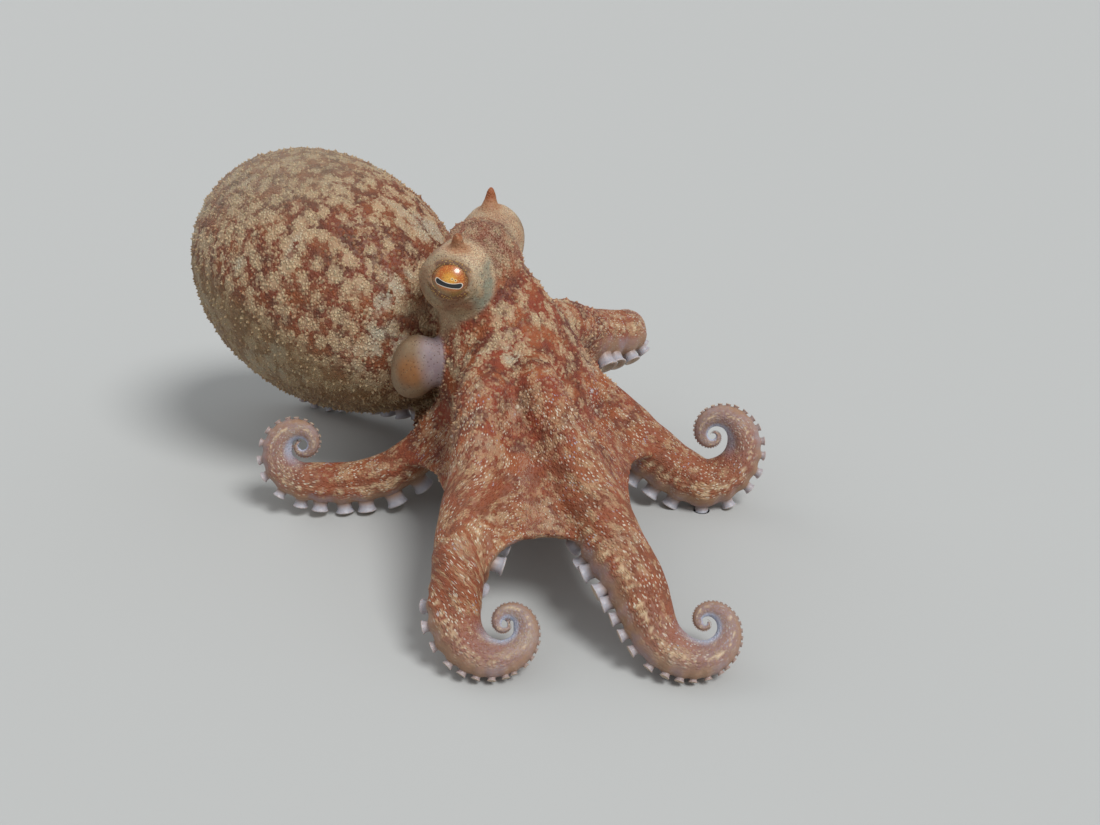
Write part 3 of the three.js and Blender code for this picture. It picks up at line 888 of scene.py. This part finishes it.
    # sucker side, arm tips, the pale line inside each spiral and the row of cream dots
    oralTone = f.blend(f.times(f.rise(middling, 0.4, 0.7), 0.5), c["oral"], c["lilac"])
    tipTone = f.blend(f.times(f.rise(speckle, 0.35, 0.65), 0.6), c["tipPink"], c["lilac"])
    for name, amount, tone in (
        ("tip", 0.7, tipTone), ("oral", 0.8, oralTone), ("rimLine", 0.85, c["rim"]),
        ("dots", 0.75, c["cream"]), ("point", 0.4, c["cream"]),
    ):
        skinTone = f.blend(f.times(f.value(name), amount), skinTone, tone)
    f.colour(skinTone)

    bare = f.math("MAXIMUM", f.times(f.value("bulbShare"), 0.6), f.value("funnelShare"))
    bare = f.math("MAXIMUM", f.value("oral"), bare)
    rough = f.minus(1.0, bare)
    rough = f.times(rough, f.mixed(f.value("tip"), 1.0, 0.3))
    bumps = f.plus(f.times(pale, 0.45), f.times(grainTop, 0.6))
    f.relief(f.times(bumps, f.plus(f.times(rough, 0.85), 0.15)), 0.45)
    return f.material


def putValues(mesh, values):
    for name, data in values.items():
        kind = "FLOAT_VECTOR" if data.ndim == 2 else "FLOAT"
        layer = mesh.attributes.new(name, kind, "POINT")
        layer.data.foreach_set("vector" if data.ndim == 2 else "value", np.asarray(data, np.float32).ravel())


def makePiece(name, verts, faces, values, material, slot):
    # a finished piece: its points go from the layout's millimetres to the model's metres
    piece = addObject(name, meshFrom(name, (verts - middle) * mm, faces))
    piece.data.materials.append(material)
    piece.data.shade_smooth()
    putValues(piece.data, values)
    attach(piece, "root")
    return piece


mantleOut = unit(skinVerts - mantle["centre"])
shapeOnly = ("evenGap", "oddGap", "half", "lie", "s", "fold")
skinValues = {name: data for name, data in fields.items() if name not in shapeOnly}
# olive colour and painted shade on the sac's underside and end
skinValues["mantleOliveShade"] = fields["mantleShare"] * ease(mantleOut @ (-0.5, 0, -0.9), -0.3, 0.6)
skinValues["mantleTop"] = fields["mantleShare"] * ease(mantleOut @ (-0.35, 0.2, 1), 0.5, 1.1)
funnelPlace = skinVerts - funnel["centre"]
skinValues["funnelLilac"] = 0.8 * ease(funnelPlace @ unit((1, -0.2, 0.2)), 2, 8)
skinValues["funnelMiddle"] = 1 - ease(np.linalg.norm(funnelPlace - (-1.5, -8, 1), axis=1), 2.5, 7.5)
skinPaint = octopusSkin()
skinValues["point"] = np.zeros(len(skinVerts))
skin = makePiece("skin", skinVerts, skinFaces, skinValues, skinPaint, "arm_skin")
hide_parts(*[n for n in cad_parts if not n.startswith("eye_") or n.startswith("eye_bulb")])
print("skin made")


# small pointed papillae stand all over the sac, the head and the crown, in the skin's own colours
pointCones = {"apart": 3.4, "wide": 0.55, "tall": 1.05, "sides": 6, "rows": 5, "seed": 8}


def pointShapes():
    # one soft cone at a random skin point in each cell of a lattice, so that none stand too close
    dice = np.random.default_rng(pointCones["seed"])
    normals = pointNormals(skinVerts, skinFaces)
    order = dice.permutation(len(skinVerts))
    cell = np.floor(skinVerts[order] / pointCones["apart"]).astype(np.int64)
    picked = order[np.unique(cell @ np.array([1, 1009, 1009 * 1013]), return_index=True)[1]]
    bare = sum(fields[key] for key in ("bulbShare", "horn", "funnelShare", "oral", "tip"))
    bare = bare + ease(fields["s"], 26, 60) * fields["armShare"]
    picked = picked[(bare[picked] < 0.5) & (skinVerts[picked, 2] > 12)]
    size = dice.uniform(0.6, 1.25, len(picked))[:, None, None, None]
    rows, sides = pointCones["rows"], pointCones["sides"]
    up = normals[picked]
    side = unit(np.cross(up, (0.3, 0.5, 0.8)))
    a = roundAngles(sides)[None, None, :, None]
    share = np.linspace(0, 1, rows)
    t = share[None, :, None, None]
    ring = np.cos(a) * side[:, None, None] + np.sin(a) * np.cross(up, side)[:, None, None]
    radius = pointCones["wide"] * size * (1.9 * (1 - t) ** 2.2 + 0.28 * np.sqrt(1 - t ** 4))
    rise = (pointCones["tall"] * t - 0.25) * size
    p = skinVerts[picked][:, None, None] + radius * ring + rise * up[:, None, None]
    faces = gridFaces(rows, sides)[None] + np.arange(len(picked))[:, None, None] * rows * sides
    values = {name: np.repeat(data[picked], rows * sides, axis=0) for name, data in skinValues.items()}
    values["point"] = np.tile(np.repeat(ease(share, 0.1, 0.8), sides), len(picked))
    return p.reshape(-1, 3), faces.reshape(-1, 4), values


points = makePiece("papillae", *pointShapes(), skinPaint, "papilla_skin")
print("papillae", len(points.data.polygons))


# suckers
suckerProfile = {
    # share of the rim's radius, share of the height, and how much of the cup's colour shows
    "radius": (1.12, 0.96, 0.86, 0.86, 0.95, 1.04, 1.06, 0.98, 0.76, 0.46, 0.22, 0.02),
    "height": (-0.35, 0.10, 0.42, 0.70, 0.88, 0.96, 1.03, 1.07, 1.0, 0.84, 0.72, 0.70),
    "cup": (0, 0, 0, 0, 0, 0.05, 0.3, 0.7, 1, 1, 1, 1),
}


def suckerRow(line, seed):
    # one turned profile at each whole number of the arm's sucker count, tilted a little at random
    lastPhase = np.interp(True, line["half"] < suckers["smallest"], line["phase"])
    numbers = np.arange(0, math.floor(lastPhase))
    s = np.interp(numbers, line["phase"], line["s"])
    dice = np.random.default_rng(seed)
    half = atRun(line, "half", s)
    size = atRun(line, "sucker", s) * dice.uniform(0.94, 1.04, len(s))
    above = unit(atRun(line, "above", s) + dice.normal(0, 0.05, (len(s), 3)))
    side = unit(np.cross(atRun(line, "along", s), above))
    along = np.cross(above, side)
    foot = atRun(line, "centre", s) - above * (half * 0.84)[:, None]
    tall = half * 0.16 + suckers["height"] * size
    columns = 18
    a = roundAngles(columns)
    ring = np.cos(a)[None, :, None] * side[:, None] + np.sin(a)[None, :, None] * along[:, None]
    radius = np.array(suckerProfile["radius"])[None, :] * (suckers["rim"] * size)[:, None]
    height = np.array(suckerProfile["height"])[None, :] * tall[:, None]
    # the tips' suckers are low beads that touch each other
    bead = (1 - ease(size, 1.5, 5))[:, None]
    radius = (radius * (1 + 0.16 * bead))[:, :, None, None]
    height = (height * (1 - 0.22 * bead))[:, :, None, None]
    p = foot[:, None, None] + radius * ring[:, None] - height * above[:, None, None]
    rows = len(suckerProfile["radius"])
    one = gridFaces(rows, columns)[:, ::-1]
    offsets = np.arange(len(s))[:, None, None] * rows * columns
    p = p.reshape(-1, 3)
    p[:, 2] = np.maximum(p[:, 2], 0)
    return p, (one[None] + offsets).reshape(-1, 4), {
        "cup": np.tile(np.repeat(np.array(suckerProfile["cup"], float), columns), len(s)),
        "up": np.tile(np.repeat(np.array(suckerProfile["height"], float), columns), len(s)),
        "small": np.repeat(1 - ease(size, 1.5, 6), rows * columns),
    }


def suckerSkin():
    f = Finish(
        "suckerSkin", Roughness=0.42, Subsurface_Weight=0.25, Subsurface_Scale=0.003,
        Subsurface_Radius=(1.0, 0.6, 0.5), Specular_IOR_Level=0.45,
    )
    place = f.objectPlace()
    mottle = f.noise(place, 1.4, 2.0)
    outside = f.blend(mottle, tint(158, 156, 164), tint(188, 187, 194))
    outside = f.blend(f.value("small"), outside, tint(160, 140, 134))
    outside = f.blend(f.rise(f.value("up"), 0.8, 0.05), outside, tint(158, 124, 102))
    inside = f.blend(mottle, tint(176, 150, 124), tint(200, 182, 160))
    f.colour(f.blend(f.value("cup"), outside, inside))
    f.relief(f.noise(place, 0.5, 1.0), 0.08)
    return f.material


suckerPaint = suckerSkin()
for number, (name, line) in enumerate(lines.items()):
    makePiece("suckers_" + name, *suckerRow(line, 100 + number), suckerPaint, "arm_tip_skin")
print("suckers made")


# eyes
iris = {
    "slitHalf": 3.5, "slitThick": 0.66, "slitDrop": -1.85, "slitCurve": 0.05, "rim": 0.17,
    # places of two painted highlights on the iris
    "highlights": ((0.9, 0.5), (2.1, 0.3)),
}


def eyeShape(eye):
    # a ball, with its rows closer together at the front; eyePlane is a point's place across the gaze
    gaze, level, upright = eyeAxes(eye)
    radius = eyeball["diameter"] / 2
    lat = np.pi * np.linspace(0, 1, eyeball["rows"])[:, None] ** 1.4
    lon = roundAngles(eyeball["columns"])[None, :]
    x, y, z = np.sin(lat) * np.cos(lon), np.sin(lat) * np.sin(lon), np.cos(lat) + 0 * lon
    plane = radius * np.stack([x, y, z], -1).reshape(-1, 3)
    p = eye["centre"] + gaze * eyeball["forward"] + plane @ np.array([level, upright, gaze])
    return p, gridFaces(eyeball["rows"], eyeball["columns"]), {"eyePlane": plane}


def eyeFinish():
    f = Finish("eyeGold", Roughness=0.3, Coat_Weight=0.6, Coat_Roughness=0.08, Specular_IOR_Level=0.5)
    plane = f.place("eyePlane")
    split = f.tree.nodes.new("ShaderNodeSeparateXYZ")
    f.tree.links.new(plane, split.inputs[0])
    x, y = split.outputs[0], split.outputs[1]
    # distance from a bent line: the height over the curve, and the overrun past its ends
    bent = f.minus(y, f.plus(f.times(f.times(x, x), iris["slitCurve"]), iris["slitDrop"]))
    over = f.math("MAXIMUM", f.minus(f.math("ABSOLUTE", x), iris["slitHalf"]), 0.0)
    far = f.math("SQRT", f.plus(f.times(bent, bent), f.times(over, over)))
    swell = f.times(f.times(x, x), 0.017)
    edge = f.minus(far, f.plus(swell, iris["slitThick"]))
    grainy = f.rise(f.cells(plane, 0.42), 0.5, 0.15)
    out = f.math("SQRT", f.plus(f.times(x, x), f.times(f.minus(y, 0.2), f.minus(y, 0.2))))
    gold = f.blend(f.rise(out, 0.6, 3.6), tint(222, 160, 58), tint(184, 94, 26))
    gold = f.over(gold, f.rise(out, 4.0, 5.6), 0.8, tint(96, 60, 32))
    gold = f.over(gold, grainy, 0.45, tint(238, 200, 110))
    gold = f.over(gold, f.rise(f.noise(plane, 0.5, 2.0), 0.55, 0.7), 0.55, tint(122, 62, 22))
    # painted highlight: two small pale reflections on the iris, each round a dark speck
    for highlightX, highlightY in iris["highlights"]:
        ends = {0: f.scaled(plane, (1, 1, 0)), 1: (highlightX, highlightY, 0)}
        near = f.node("ShaderNodeVectorMath", ends, out=1, operation="DISTANCE")
        gold = f.over(gold, f.rise(near, 0.62, 0.4), 0.6, tint(246, 226, 170))
        gold = f.blend(f.rise(near, 0.26, 0.16), gold, tint(40, 26, 16))
    below = f.rise(bent, -0.5, -2.2)
    gold = f.over(gold, below, 0.65, tint(122, 104, 62))
    gold = f.blend(f.rise(edge, iris["rim"] + 0.08, iris["rim"] - 0.08), gold, tint(236, 228, 214))
    gold = f.blend(f.rise(edge, 0.04, -0.06), gold, tint(12, 13, 16))
    f.colour(gold)
    return f.material


eyePaint = eyeFinish()
for sideName, eye in eyeBulbs.items():
    ball = makePiece("eyeball_" + sideName, *eyeShape(eye), eyePaint, "eye")
    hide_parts("eye_" + sideName)
print("eyes made")
